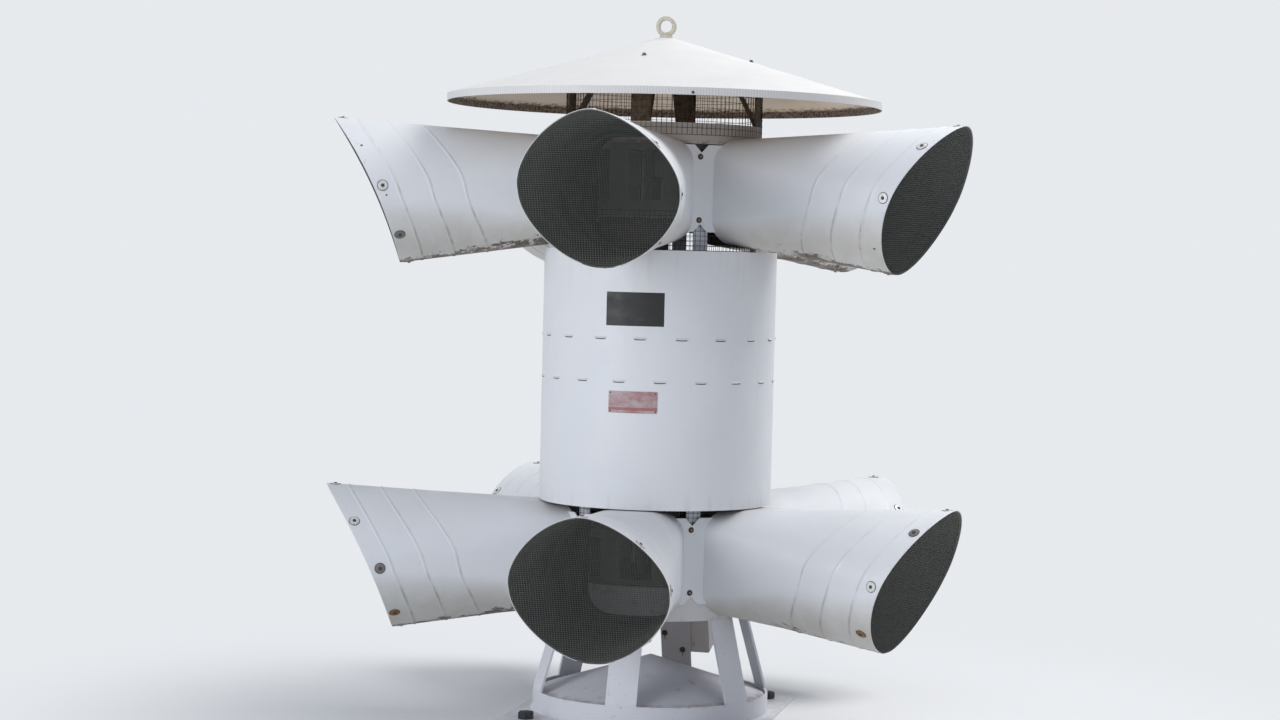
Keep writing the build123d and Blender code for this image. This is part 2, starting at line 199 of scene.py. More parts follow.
class Shapes:
    """Vertices and faces of one piece, with a finish number for each face and a UV for each corner."""

    def __init__(self):
        self.vertices, self.faces, self.finishes, self.places = [], [], [], []

    def add(self, points, faces, finish=0, matrix=None, places=None):
        """Adds faces between points; places holds a UV for each corner of each face."""
        first = len(self.vertices)
        self.vertices += [matrix @ Vector(p) if matrix else Vector(p) for p in points]
        for i, face in enumerate(faces):
            self.faces.append([first + k for k in face])
            self.finishes.append(finish)
            self.places += places[i] if places else [(0.0, 0.0)] * len(face)

    def grid(self, rows, finish=0, matrix=None, closed=True, places=None, flip=False):
        """A sheet between rows of equally many points; closed joins each row's end to its start.

        Rows of places have one more entry than a closed row of points, for its end.
        """
        wide = len(rows[0])
        faces, corners = [], []
        for r in range(len(rows) - 1):
            for c in range(wide if closed else wide - 1):
                a, b = r * wide + c, r * wide + (c + 1) % wide
                faces.append([a, b, b + wide, a + wide])
                if places:
                    near, far = places[r], places[r + 1]
                    corners.append([near[c], near[c + 1], far[c + 1], far[c]])
        if flip:
            faces = [face[::-1] for face in faces]
            corners = [corner[::-1] for corner in corners]
        self.add([p for row in rows for p in row], faces, finish, matrix, corners)

    def lathe(self, outline, sides, finish=0, matrix=None):
        """A solid of revolution round +Z from (radius, height) points; the last may lie on the axis."""
        points, rings, faces = [], [], []
        for radius, height in outline:
            count = sides if radius else 1
            rings.append([len(points) + i % count for i in range(sides)])
            for i in range(count):
                turn = tau * i / sides
                points.append((radius * cos(turn), radius * sin(turn), height))
        for lower, upper in zip(rings, rings[1:]):
            for i in range(sides):
                j = (i + 1) % sides
                corners = [lower[i], lower[j], upper[j], upper[i]]
                faces.append(list(dict.fromkeys(corners)))
        self.add(points, faces, finish, matrix)

    def tube(self, path, radius, sides, closed=False, matrix=None):
        """A round bar along a path of points."""
        path = [Vector(p) for p in path]
        count = len(path)
        points = []
        for i, p in enumerate(path):
            before = path[i - 1] if closed or i else p
            after = path[(i + 1) % count] if closed or i < count - 1 else p
            along = (after - before).normalized()
            side = along.cross(Vector((0, 0, 1)))
            if side.length < 0.1:
                side = along.cross(Vector((1, 0, 0)))
            side.normalize()
            up = side.cross(along)
            for k in range(sides):
                turn = tau * (k + 0.5) / sides
                points.append(p + radius * (cos(turn) * side + sin(turn) * up))
        faces = []
        for i in range(count if closed else count - 1):
            j = (i + 1) % count
            for k in range(sides):
                m = (k + 1) % sides
                faces.append([i * sides + k, j * sides + k, j * sides + m, i * sides + m])
        if not closed:
            last = (count - 1) * sides
            faces += [list(range(sides)), list(range(last, last + sides))[::-1]]
        self.add(points, faces, 0, matrix)

    def slab(self, outline, thickness, matrix, place):
        """A flat plate with one UV all over: outline points at z 0, given a thickness along +Z."""
        count = len(outline)
        faces = [list(range(count))[::-1], list(range(count, 2 * count))]
        for i in range(count):
            j = (i + 1) % count
            faces.append([i, j, j + count, i + count])
        points = [(x, y, z) for z in (0, thickness) for x, y in outline]
        self.add(points, faces, 0, matrix, [[place] * len(face) for face in faces])

    def piece(self, name, materials, slot, replaces=(), smooth=35):
        """The object of these shapes, smooth where faces meet at less than so many degrees."""
        mesh = bpy.data.meshes.new(name)
        mesh.from_pydata(self.vertices, [], self.faces)
        for material in materials:
            mesh.materials.append(material)
        layer = mesh.uv_layers.new(name="place")
        for corner, uv in zip(layer.data, self.places):
            corner.uv = uv
        for polygon, finish in zip(mesh.polygons, self.finishes):
            polygon.material_index = finish
        obj = put(name, mesh)
        if smooth:
            mesh.shade_smooth()
            mesh.set_sharp_from_angle(angle=radians(smooth))
        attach(obj, "root")
        if replaces:
            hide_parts(*replaces)


def facing(point, outward):
    """A matrix at a point whose +Z looks outward and whose +Y is as near up as it can be."""
    z = Vector(outward).normalized()
    x = Vector((0, 0, 1)).cross(z).normalized()
    return Matrix.Translation(point) @ Matrix((x, z.cross(x), z)).transposed().to_4x4()


def around(angle, radius, height):
    """A point round the vertical axis."""
    return Vector((radius * sin(angle), -radius * cos(angle), height))


# Materials. Spots are given as the noise's scale and detail and the values between which they
# fade in; heights and distances from the axis are in metres.

class Paint:
    """A procedural material: base colour layers, roughness and bump made of nodes."""

    def __init__(self, name, colour, roughness=0.5, metallic=0.0):
        self.material = bpy.data.materials.new(name)
        self.material.use_nodes = True
        self.colour = (*colour, 1)
        self.material.diffuse_color = self.colour
        self.tree = self.material.node_tree
        self.shader = self.tree.nodes["Principled BSDF"]
        for key, value in (("Metallic", metallic), ("Roughness", roughness), ("Base Color", self.colour)):
            self.shader.inputs[key].default_value = value
        geometry = add_node(self.tree, "ShaderNodeNewGeometry")
        self.position, self.normal = geometry.outputs["Position"], geometry.outputs["Normal"]
        self.flat = self.vector("MULTIPLY", self.position, (1, 1, 0))[0]
        self.radius = self.vector("LENGTH", self.flat)[1]
        self.level = self.part(self.position, 2)
        self.up = self.part(self.normal, 2)
        self.relief = None

    def maths(self, operation, *values):
        inputs = dict(enumerate(values))
        return add_node(self.tree, "ShaderNodeMath", inputs, operation=operation).outputs[0]

    def vector(self, operation, a, b=(0, 0, 0)):
        """The outputs of a vector operation: the vector, then the value."""
        return add_node(self.tree, "ShaderNodeVectorMath", {0: a, 1: b}, operation=operation).outputs

    def span(self, value, start, end, low=0.0, high=1.0):
        """A smooth step of a value from start to end, going from low to high."""
        inputs = {"Value": value, "From Min": start, "From Max": end, "To Min": low, "To Max": high}
        return add_node(self.tree, "ShaderNodeMapRange", inputs, interpolation_type="SMOOTHSTEP").outputs[0]

    def noise(self, scale, detail=4.0, stretch=(1, 1, 1), rough=0.6):
        place = self.vector("MULTIPLY", self.position, stretch)[0]
        inputs = {"Vector": place, "Scale": scale, "Detail": detail, "Roughness": rough}
        return add_node(self.tree, "ShaderNodeTexNoise", inputs).outputs[0]

    def spots(self, scale, detail, start, end, low=0.0, high=1.0, **kind):
        """Noise of a scale and detail as a smooth step."""
        return self.span(self.noise(scale, detail, **kind), start, end, low, high)

    def part(self, value, axis):
        return add_node(self.tree, "ShaderNodeSeparateXYZ", {0: value}).outputs[axis]

    def layer(self, colour, amount, *masks):
        """Lays an amount of a colour over what is there, where all of the masks are 1."""
        mask = masks[0]
        for value in (*masks[1:], amount):
            mask = self.maths("MULTIPLY", mask, value)
        inputs = {0: mask, 6: self.colour, 7: (*colour, 1)}
        self.colour = add_node(self.tree, "ShaderNodeMix", inputs, data_type="RGBA").outputs[2]

    def bump(self, scale, detail, distance, strength):
        inputs = {"Height": self.noise(scale, detail), "Distance": distance, "Strength": strength}
        if self.relief:
            inputs["Normal"] = self.relief
        self.relief = add_node(self.tree, "ShaderNodeBump", inputs).outputs[0]

    def done(self, low=None, high=None, scale=7.0):
        """The finished material; with low and high, its roughness varies between them by noise."""
        gloss = self.spots(scale, 5.0, 0.3, 0.7, low, high) if low else None
        for key, source in (("Base Color", self.colour), ("Normal", self.relief), ("Roughness", gloss)):
            if isinstance(source, bpy.types.NodeSocket):
                self.tree.links.new(source, self.shader.inputs[key])
        return self.material


white = (0.7, 0.715, 0.745)
ochre = (0.36, 0.27, 0.13)
brown = (0.145, 0.085, 0.045)
soot = (0.03, 0.027, 0.024)
rust = (0.23, 0.085, 0.03)
umber = (0.3, 0.26, 0.22)


def painted(name, colour=white, roughness=0.42):
    """White enamel with faint uneven tone, dust specks and an orange-peel surface."""
    paint = Paint(name, colour, roughness)
    paint.layer((0.52, 0.54, 0.58), 0.16, paint.spots(2.2, 4, 0.42, 0.72))
    paint.layer((0.8, 0.79, 0.76), 0.1, paint.spots(9, 4, 0.42, 0.72, stretch=(1, 1, 0.35)))
    paint.layer((0.33, 0.31, 0.27), 0.35, paint.spots(260, 2, 0.7, 0.78))
    paint.bump(420, 2, 0.0004, 0.25)
    paint.bump(14, 3, 0.004, 0.1)
    return paint


def bottom_crust(paint):
    """1 on a ragged strip along the horns' bottoms, kept off the hub on the +X side."""
    upper = paint.maths("GREATER_THAN", paint.level, tier_border)
    between_tiers = axis_heights["upper"] - axis_heights["lower"]
    axis = paint.maths("MULTIPLY_ADD", upper, between_tiers, axis_heights["lower"])
    fall = paint.maths("MULTIPLY_ADD", paint.radius, height_flare + sin(horn_tilt), bottom_drop)
    above = paint.maths("ADD", paint.maths("SUBTRACT", paint.level, axis), fall)
    share = paint.maths("DIVIDE", above, paint.span(paint.radius, 0.45, 1.05, 0.034, 0.01))
    share = paint.maths("ADD", share, paint.spots(19, 8, 0.35, 0.65, -0.9, 0.9, rough=0.75))
    left = paint.span(paint.part(paint.position, 0), 0.1, -0.1)
    reached = paint.maths("MAXIMUM", left, paint.span(paint.radius, 0.58, 0.7))
    return paint.maths("MULTIPLY", paint.span(share, 0.95, 0.65), reached)


def horn_paint():
    """White enamel with a painted shadow line along each rib, a greyer underside that is partly painted
    shade, and ochre, brown and mould on the undersides.

    The UV holds the place round the mouth, counted in washers, and the distance behind the lip.
    """
    paint = painted("horn_enamel")
    place = add_node(paint.tree, "ShaderNodeUVMap", uv_map="place").outputs[0]
    behind = paint.part(place, 1)
    bottom = paint.maths("ABSOLUTE", paint.maths("ADD", paint.part(place, 0), washers_a_mouth / 2))
    under = paint.span(paint.up, -0.05, -0.8)
    # Greyer beige towards the underside: partly dirt, partly painted shade of the down-facing sheet.
    paint.layer((0.44, 0.41, 0.34), 0.45, under)
    paint.layer(ochre, 0.22, under, paint.spots(11, 6, 0.3, 0.65, stretch=(1, 1, 0.5)))
    # A soft dark line just behind each rib, stronger on down-facing sheet: painted shadow of the rib's bead.
    rib_shadow_lines = 0
    for rib in rib_places:
        off = paint.maths("ABSOLUTE", paint.maths("SUBTRACT", behind, rib + rib_shadow))
        rib_shadow_lines = paint.maths("MAXIMUM", rib_shadow_lines, paint.span(off, 0.0075, 0.0015))
    drawn = paint.spots(26, 5, 0.4, 0.66, 0.15, 0.8, stretch=(1, 1, 0.35))
    paint.layer((0.22, 0.21, 0.19), 1, rib_shadow_lines, paint.span(paint.up, 0.45, -0.55, 0.25, 0.75), drawn)
    ragged = paint.spots(34, 7, 0.35, 0.65, -0.22, 0.3, rough=0.75)
    paint.layer(brown, 0.85, paint.span(paint.maths("ADD", bottom, ragged), 0.4, 0.2))
    crust = bottom_crust(paint)
    paint.layer((0.095, 0.058, 0.028), 0.9, crust)
    paint.layer(soot, 0.8, crust, paint.spots(90, 6, 0.48, 0.58))
    paint.layer(brown, 0.35, paint.span(paint.up, 0.55, 0.95), paint.span(paint.radius, 0.62, 0.4))
    paint.layer(rust, 0.5, paint.span(behind, 0.05, 0), paint.spots(90, 5, 0.62, 0.68))
    return paint.done(0.34, 0.62)


def horn_inside_painted_shade():
    """The inside of a horn: its dark colour, darker towards the hub, is painted shade, with dust spots and
    patches of painted light on its floor.
    """
    paint = Paint("horn_inside_shade_enamel", (0.105, 0.112, 0.108), 0.7)
    paint.layer((0.05, 0.052, 0.05), 0.5, paint.spots(5, 4, 0.42, 0.72))
    # Darker towards the hub: painted shade deeper in the horn.
    paint.layer((0.03, 0.031, 0.033), 0.75, paint.span(paint.radius, 1, 0.4))
    # Lighter patches on up-facing sheet: painted light on the horn's floor.
    paint.layer((0.15, 0.15, 0.14), 0.4, paint.span(paint.up, 0.6, 0.95), paint.spots(12, 5, 0.3, 0.6))
    return paint.done(0.6, 0.85)


def shroud_paint():
    """White enamel with faint drips under the upper rim and above the lower one."""
    paint = painted("shroud_enamel")
    drips = paint.noise(34, 4, (1, 1, 0.05))
    top, foot = paint.span(paint.level, 1.62, 1.826), paint.span(paint.level, 0.93, 0.84)
    paint.layer((0.42, 0.32, 0.22), 0.12, top, paint.span(drips, 0.45, 0.75))
    paint.layer((0.3, 0.27, 0.22), 0.15, foot, paint.span(drips, 0.5, 0.75))
    return paint.done(0.36, 0.55)


def roof_paint():
    """Cream white on top, fine dark stripes round the rim as painted shade of its crimps, and a beige
    underside with a speckled brown edge.
    """
    paint = painted("roof_enamel", (0.68, 0.67, 0.66), 0.45)
    facing_out = paint.vector("DOT_PRODUCT", paint.normal, paint.flat)[1]
    turn = paint.maths("ARCTAN2", paint.part(paint.position, 1), paint.part(paint.position, 0))
    crimp_shade_wave = paint.maths("SINE", paint.maths("MULTIPLY", turn, rim_crimps))
    # Dark stripes on the rim's outer face: painted shade of its crimps.
    paint.layer((0.3, 0.3, 0.33), 0.22, paint.span(facing_out, 0.6, 0.8), paint.span(crimp_shade_wave, -0.6, 0.9))
    under = paint.span(paint.up, -0.2, -0.6)
    paint.layer((0.78, 0.61, 0.43), 0.85, under)
    ragged = paint.maths("ADD", paint.radius, paint.spots(40, 6, 0.3, 0.7, -0.03, 0.03))
    band = paint.maths("MULTIPLY", under, paint.span(ragged, 0.815, 0.85))
    dirt = paint.maths("MAXIMUM", band, paint.span(facing_out, -0.5, -0.75))
    paint.layer((0.26, 0.18, 0.11), 0.8, dirt)
    paint.layer((0.055, 0.032, 0.018), 0.85, dirt, paint.spots(110, 5, 0.46, 0.56, rough=0.7))
    return paint.done(0.38, 0.6)


def base_paint():
    """Lavender-white enamel with chips, and rust low down and along the drum's rim."""
    paint = painted("base_enamel", (0.66, 0.67, 0.72), 0.5)
    paint.layer(brown, 0.55, paint.spots(48, 7, 0.62, 0.68, rough=0.75))
    paint.layer((0.22, 0.14, 0.09), 0.15, paint.span(paint.level, 0.03, 0.014), paint.spots(20, 4, 0.35, 0.6))
    over, under = paint.span(paint.level, 0.082, 0.092), paint.span(paint.level, 0.106, 0.094)
    paint.layer(rust, 0.25, over, under, paint.spots(22, 5, 0.5, 0.62))
    return paint.done(0.4, 0.66)


def cover_paint():
    """The cone inside the drum's rim, brown where it meets the rim."""
    paint = painted("cover_enamel", (0.6, 0.6, 0.66), 0.5)
    paint.layer((0.14, 0.1, 0.08), 0.8, paint.span(paint.radius, 0.4, 0.452), paint.spots(30, 5, 0.35, 0.6))
    paint.layer((0.3, 0.24, 0.2), 0.45, paint.spots(18, 6, 0.6, 0.72))
    return paint.done(0.45, 0.7)


def housing_paint():
    """The enamel of the rings behind the horns, with a dirty end ring rusty along its edge."""
    paint = painted("housing_enamel", (0.58, 0.58, 0.58), 0.5)
    paint.layer(umber, 0.35, paint.spots(24, 6, 0.5, 0.7))
    ring = paint.span(paint.level, 2.2, 2.21)
    paint.layer(umber, 0.75, ring)
    edge = paint.span(paint.level, 2.25, 2.236)
    paint.layer((0.17, 0.085, 0.04), 0.8, ring, edge, paint.spots(40, 5, 0.38, 0.6))
    return paint.done(0.45, 0.7)


def inner_paint(name, colour, roughness=0.6):
    """Dusty paint of a given dark colour; for the stators and rotors behind screens and for the louvre
    strips, that darkness is painted shade.
    """
    paint = Paint(name, colour, roughness)
    paint.layer([c * 0.45 for c in colour], 0.5, paint.spots(6, 4, 0.42, 0.72))
    paint.layer((0.2, 0.14, 0.09), 0.5, paint.spots(60, 5, 0.6, 0.7))
    paint.bump(180, 3, 0.0006, 0.3)
    return paint.done()


def box_paint():
    """Beige-pink paint with rust runs down its faces."""
    paint = painted("box_enamel", (0.56, 0.5, 0.47), 0.5)
    paint.layer((0.24, 0.1, 0.05), 0.75, paint.spots(46, 4, 0.58, 0.7, stretch=(1, 1, 0.08)))
    return paint.done(0.45, 0.7)


def rusty_steel(name, colour, rusted, roughness=0.7, metallic=0.2):
    """Bare or thinly painted steel gone brown."""
    paint = Paint(name, colour, roughness, metallic)
    paint.layer(rusted, 1, paint.spots(28, 6, 0.38, 0.62, rough=0.7))
    paint.layer(soot, 0.7, paint.spots(90, 4, 0.6, 0.72))
    paint.bump(160, 5, 0.0008, 0.5)
    return paint.done(roughness - 0.1, roughness + 0.15, 30)


def galvanised(name, colour, roughness=0.5, metallic=0.6):
    """Dull zinc with a faint spangle and dirt."""
    paint = Paint(name, colour, roughness, metallic)
    paint.layer([c * 0.6 for c in colour], 0.5, paint.spots(70, 4, 0.45, 0.65))
    paint.layer((0.14, 0.09, 0.05), 0.6, paint.spots(24, 5, 0.6, 0.72))
    return paint.done(roughness - 0.08, roughness + 0.12, 60)


def eye_steel():
    """Thin beige paint on a forged eye, with rust spots."""
    paint = Paint("eye_enamel", (0.58, 0.54, 0.46), 0.5)
    paint.layer(rust, 0.7, paint.spots(70, 6, 0.58, 0.66, rough=0.7))
    paint.bump(160, 4, 0.0006, 0.4)
    return paint.done()


def panel_paint():
    """Plain black, a little scuffed."""
    paint = Paint("sticker_black", (0.012, 0.012, 0.014), 0.45)
    paint.layer((0.1, 0.1, 0.11), 0.35, paint.spots(40, 6, 0.62, 0.72))
    return paint.done(0.38, 0.6, 20)


def plate_paint():
    """A sheet-metal plate whose red has faded unevenly, less so in a band near its foot."""
    paint = Paint("plate_faded_red", (0.36, 0.17, 0.17), 0.5)
    paint.layer((0.45, 0.42, 0.44), 0.75, paint.spots(16, 6, 0.35, 0.65, stretch=(1, 1, 2)))
    over, under = paint.span(paint.level, 1.216, 1.219), paint.span(paint.level, 1.23, 1.227)
    paint.layer((0.32, 0.06, 0.06), 0.7, over, under)
    return paint.done(0.4, 0.6, 30)


enamel_horn = horn_paint()
inside_painted_shade = horn_inside_painted_shade()
mesh_zinc = galvanised("mesh_zinc", (0.17, 0.172, 0.158), 0.6, 0.2)
mesh_rusty = rusty_steel("mesh_rusty", (0.06, 0.045, 0.035), (0.085, 0.04, 0.02), 0.75, 0.1)
washer_zinc = galvanised("washer_zinc", (0.66, 0.67, 0.68), 0.4, 0.35)
washer_grey = galvanised("washer_grey", (0.19, 0.19, 0.2), 0.55, 0.3)
washer_rusty = rusty_steel("washer_rusty", (0.26, 0.17, 0.09), (0.2, 0.1, 0.05), 0.65, 0.2)
bolt_dark = rusty_steel("bolt_dark", (0.05, 0.045, 0.042), (0.1, 0.05, 0.025), 0.6, 0.3)
bracket_steel = rusty_steel("bracket_steel", (0.15, 0.115, 0.075), (0.07, 0.045, 0.028))
# Near black: painted shade in the louvre strips, and the real black of the anchor nuts.
shade_and_nut_black = inner_paint("shade_and_nut_black", (0.035, 0.035, 0.04), 0.8)

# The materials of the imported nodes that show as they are
finish_of = {node: material for material, group in (
    (base_paint(), "base_plate base_drum leg_1 leg_2 leg_3 leg_5 leg_6"),
    (painted("back_leg_enamel", (0.52, 0.49, 0.48), 0.5).done(), "leg_4"),
    (cover_paint(), "drum_cover"),
    (box_paint(), "junction_box"),
    (shroud_paint(), "shroud"),
    (roof_paint(), "roof"),
    (housing_paint(), "lower_skirt upper_end_ring"),
    (inner_paint("stator_painted_shade", (0.14, 0.146, 0.15)), "lower_stator upper_stator"),
    (inner_paint("rotor_painted_shade", (0.075, 0.075, 0.078)), "lower_rotor upper_rotor"),
    (inner_paint("motor_paint", (0.16, 0.18, 0.2)), "motor"),
    (painted("post_enamel", (0.62, 0.66, 0.74), 0.45).done(), "frame_posts shroud_brackets"),
) for node in group.split()}


def dress_cad_nodes():
    for name, obj in nodes.items():
        if name in finish_of:
            obj.data.materials.clear()
            obj.data.materials.append(finish_of[name])


# Horns

def outline_point(half_width, half_height, squareness, turn, inset):
    """The point of a superellipse whose outward direction is turn, moved in by inset."""
    c, s = cos(turn), sin(turn)
    power = squareness / (squareness - 1)
    reach = ((half_width * abs(c)) ** power + (half_height * abs(s)) ** power) ** (1 / power)
    x = copysign(half_width ** power * abs(c) ** (power - 1) * reach ** (1 - power), c)
    y = copysign(half_height ** power * abs(s) ** (power - 1) * reach ** (1 - power), s)
    return x - inset * c, y - inset * s


seam_chord = seam_radius * cos(seam_angle)
cone_start = seam_chord / 2
cone_end = horn_length + mouth_half_height
width_flare = (mouth_half_width - throat_half_width) / (horn_length - seam_chord - flange_width / 2)
tilt_cos, tilt_sin = cos(horn_tilt), sin(horn_tilt)


def cone_line(turn, inset=0.0, start_squareness=throat_squareness):
    """The straight line of the horn's cone at a direction: x, y at the start and their growth."""
    ends = []
    for place, squareness in ((cone_start, start_squareness), (cone_end, mouth_squareness)):
        past = place - horn_length
        ends.append(outline_point(mouth_half_width + width_flare * past,
                                  mouth_half_height + height_flare * past, squareness, turn, inset))
    length = cone_end - cone_start
    slopes = [(b - a) / length for a, b in zip(*ends)]
    return ends[0], slopes


def cone_point(line, s):
    (x, y), (dx, dy) = line
    return Vector((x + dx * (s - cone_start), y + dy * (s - cone_start), s))


def root(a, b, c, sign):
    """The higher or lower root of a quadratic, by sign."""
    return (-b + sign * sqrt(b * b - 4 * a * c)) / (2 * a)


half_chord = mouth_half_height / cos(mouth_slant)
cut_centre = sqrt(lip_curve_radius ** 2 - half_chord ** 2)
slant_up = Vector((0, cos(mouth_slant), sin(mouth_slant)))
slant_out = Vector((0, -sin(mouth_slant), cos(mouth_slant)))


def at_mouth(line, inset=0.0):
    """Where a line of the cone meets the mouth's curved cut, or one parallel to it further in."""
    here = cone_point(line, horn_length) - Vector((0, 0, horn_length))
    step = Vector((*line[1], 1))
    v, w = here.dot(slant_up), here.dot(slant_out) - cut_centre
    dv, dw = step.dot(slant_up), step.dot(slant_out)
    c = v * v + w * w - (lip_curve_radius + inset) ** 2
    return horn_length + root(dv * dv + dw * dw, 2 * (v * dv + w * dw), c, -1)


def lip_trim(index):
    """The front horns end a little short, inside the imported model's box."""
    return front_trim if index == 0 else 0.0


def at_hub(line, radius):
    """Where a line of the cone meets an upright cylinder round the part's axis."""
    (x, y), (dx, dy) = line
    across, out = x - cone_start * dx, (y - cone_start * dy) * tilt_sin
    rate = tilt_cos + dy * tilt_sin
    c = across * across + out * out - radius * radius
    return root(dx * dx + rate * rate, 2 * (across * dx + out * rate), c, 1)


def hub_point(turn, inset, axis):
    """The horn's squarer inner end: at the housing, or at the end ring above it."""
    line = cone_line(turn, inset, hub_squareness)
    s = at_hub(line, hub_radius)
    p = cone_point(line, s)
    height = axis - s * tilt_sin + p.y * tilt_cos
    return cone_point(line, at_hub(line, crown_radius)) if height > crown_height else p


def horn_frame(axis, index):
    """From the horn's own frame (x across, y up, z outward) to the part's; axis is its height there."""
    own = Matrix(((1, 0, 0), (0, -tilt_sin, -tilt_cos), (0, tilt_cos, -tilt_sin))).to_4x4()
    place = Matrix.Translation((0, 0, axis))
    return Matrix.Rotation(horn_pitch * index, 4, "Z") @ place @ own


turns = [tau * i / horn_columns for i in range(horn_columns)]


def rib_height(behind):
    """How far the sheet stands out at a distance behind the lip, whose own edge is folded in."""
    for place in rib_places:
        off = abs(behind - place)
        if off < rib_width / 2:
            return rib_lift * min(1.0, (rib_width / 2 - off) / rib_edge)
    return 0.0 if behind else -lip_fold


def row_distances():
    """Distances behind the lip of the rows of the horn's outside, close together at the ribs."""
    rows = [*lip_rows]
    half = rib_width / 2
    for place in rib_places:
        for side in (-1, 1):
            for edge in (half + rib_blend, half, half - rib_edge, half - rib_edge - rib_blend):
                rows.append(place + side * edge)
        rows.append(place + row_after_rib)
    return sorted(rows)


def between(starts, ends, share):
    return [a.lerp(b, share) for a, b in zip(starts, ends)]


def add_cone(shapes, axis, index):
    """The horn's outside with its ribs, its inside, and the edges that join them at lip and hub."""
    matrix = horn_frame(axis, index)
    distances = row_distances()
    last = distances[-1]
    across = [washers_a_mouth * (pi / 2 - t) / tau for t in turns + [tau]]

    def row(lines, behind):
        return [cone_point(line, at_mouth(line, lip_trim(index)) - behind) for line in lines]

    rows, places = [], []
    lines = [cone_line(t) for t in turns]
    for behind in distances:
        lift = rib_height(behind)
        rows.append([p + lift * Vector((cos(t), sin(t), 0)) for t, p in zip(turns, row(lines, behind))])
        places.append([(u, behind) for u in across])
    starts = row(lines, last)
    ends = [hub_point(t, 0.0, axis) for t in turns]
    lengths = [(a - b).length for a, b in zip(starts, ends)]
    for k in range(1, hub_rows + 1):
        share = k / hub_rows
        rows.append(between(starts, ends, share))
        places.append([(u, last + length * share) for u, length in zip(across, lengths + lengths[:1])])
    shapes.grid(rows, 0, matrix, places=places)
    lines = [cone_line(t, horn_sheet) for t in turns]
    starts = row(lines, last)
    ends = [hub_point(t, horn_sheet, axis) for t in turns]
    inside = [row(lines, 0.0)] + [between(starts, ends, share) for share in (0.0, 0.5, 1.0)]
    shapes.grid(inside, 1, matrix, flip=True)
    shapes.grid([inside[0], rows[0]], 0, matrix, places=[[(u, 0.0) for u in across]] * 2)
    shapes.grid([rows[-1], inside[-1]], 0, matrix)


def flange_edge(side, depth, axis):
    """Where the cone's outside passes through the flange's plane: (along the flange, height) points."""
    matrix = horn_frame(axis, 0)
    ahead = around(side * seam_angle, 1, 0)
    along = around(side * seam_angle + pi / 2, side, 0)
    points = []
    for degrees in range(-80, 81, 2):
        line = cone_line(radians(degrees) + (0 if side > 0 else pi), horn_sheet / 2, hub_squareness)
        near, far = [matrix @ cone_point(line, s) for s in (0.0, 1.0)]
        reach = near.dot(ahead)
        p = near.lerp(far, (depth - reach) / (far.dot(ahead) - reach))
        points.append((p.dot(along), p.z))
    return sorted(points, key=lambda point: point[1])


def add_flange(shapes, axis, index, side):
    """The flat flange beside the horn, notched at both ends; the one on the right laps over."""
    depth = hub_radius + (horn_sheet if side > 0 else 0.0)
    middle, half = axis - flange_drop, flange_height / 2
    edge = flange_edge(side, depth + horn_sheet / 2, axis)
    edge = [(u, h - middle) for u, h in edge if abs(h - middle) < half]
    seam = -side * seam_shift
    inner = half - notch_depth
    notch = [(seam - notch_depth, half), (seam, inner), (seam + flange_lap, inner + flange_lap)]
    rising = [(edge[0][0], -half)] + [(u, -h) for u, h in notch] + notch[::-1] + [(edge[-1][0], half)]
    outline = [(side * u, middle + h) for u, h in rising + edge[::-1]]
    angle = horn_pitch * index + side * seam_angle
    matrix = facing(around(angle, depth, 0), around(angle, 1, 0))
    shapes.slab(outline[::side], horn_sheet, matrix, flange_place)


def add_throat_plate(shapes, tier, axis, index):
    """The curved plate at the horn's inner end, which shuts what lies beyond the housing's collar."""
    angle = horn_pitch * index
    matrix = horn_frame(axis, index)
    collar = collar_edges[tier]
    side = 1 if tier == "lower" else -1
    heights = {}
    for t in turns:
        p = matrix @ hub_point(t, horn_sheet, axis)
        if side * (p.z - collar) > 0:
            turn = atan2(p.x, -p.y) - angle
            heights[(turn + pi) % tau - pi] = p.z
    rows = [[], []]
    for turn, height in sorted(heights.items()):
        for row, level in zip(rows, (height, collar)):
            row.append(around(angle + turn, hub_radius - throat_plate_setback, level))
    shapes.grid(rows, 1, closed=False, flip=side > 0)


def build_horns():
    for tier, axis in axis_heights.items():
        for index in range(horn_count):
            shapes = Shapes()
            add_cone(shapes, axis, index)
            add_throat_plate(shapes, tier, axis, index)
            for side in (-1, 1):
                add_flange(shapes, axis, index, side)
            name = f"{tier}_horn_{index + 1}"
            shapes.piece(f"{name}_skin", [enamel_horn, inside_painted_shade], "horn_paint", [name])


# Screens

def on_screen(across, arc, inset):
    """A point of the curved screen, from its place across and its place along the curve."""
    reach, turn = lip_curve_radius + inset, arc / lip_curve_radius
    centre = Vector((across, 0, horn_length)) + cut_centre * slant_out
    return centre + reach * (sin(turn) * slant_up - cos(turn) * slant_out)


def mouth_outline(setback, inset):
    """The mouth's inner edge on the curved screen: (across, along the curve) points."""
    points = []
    for t in turns:
        line = cone_line(t, horn_sheet + inset)
        p = cone_point(line, at_mouth(line, setback))
        up = (p - Vector((0, 0, horn_length))).dot(slant_up)
        points.append((p.x, lip_curve_radius * asin(up / (lip_curve_radius + setback))))
    return points


def chord(outline, axis, value):
    """The lowest and highest crossing of a closed outline with a line at x or y = value."""
    found = []
    for i, a in enumerate(outline):
        b = outline[(i + 1) % len(outline)]
        if (a[axis] - value) * (b[axis] - value) < 0:
            share = (value - a[axis]) / (b[axis] - a[axis])
            found.append(a[1 - axis] + (b[1 - axis] - a[1 - axis]) * share)
    return (min(found), max(found)) if len(found) > 1 else None


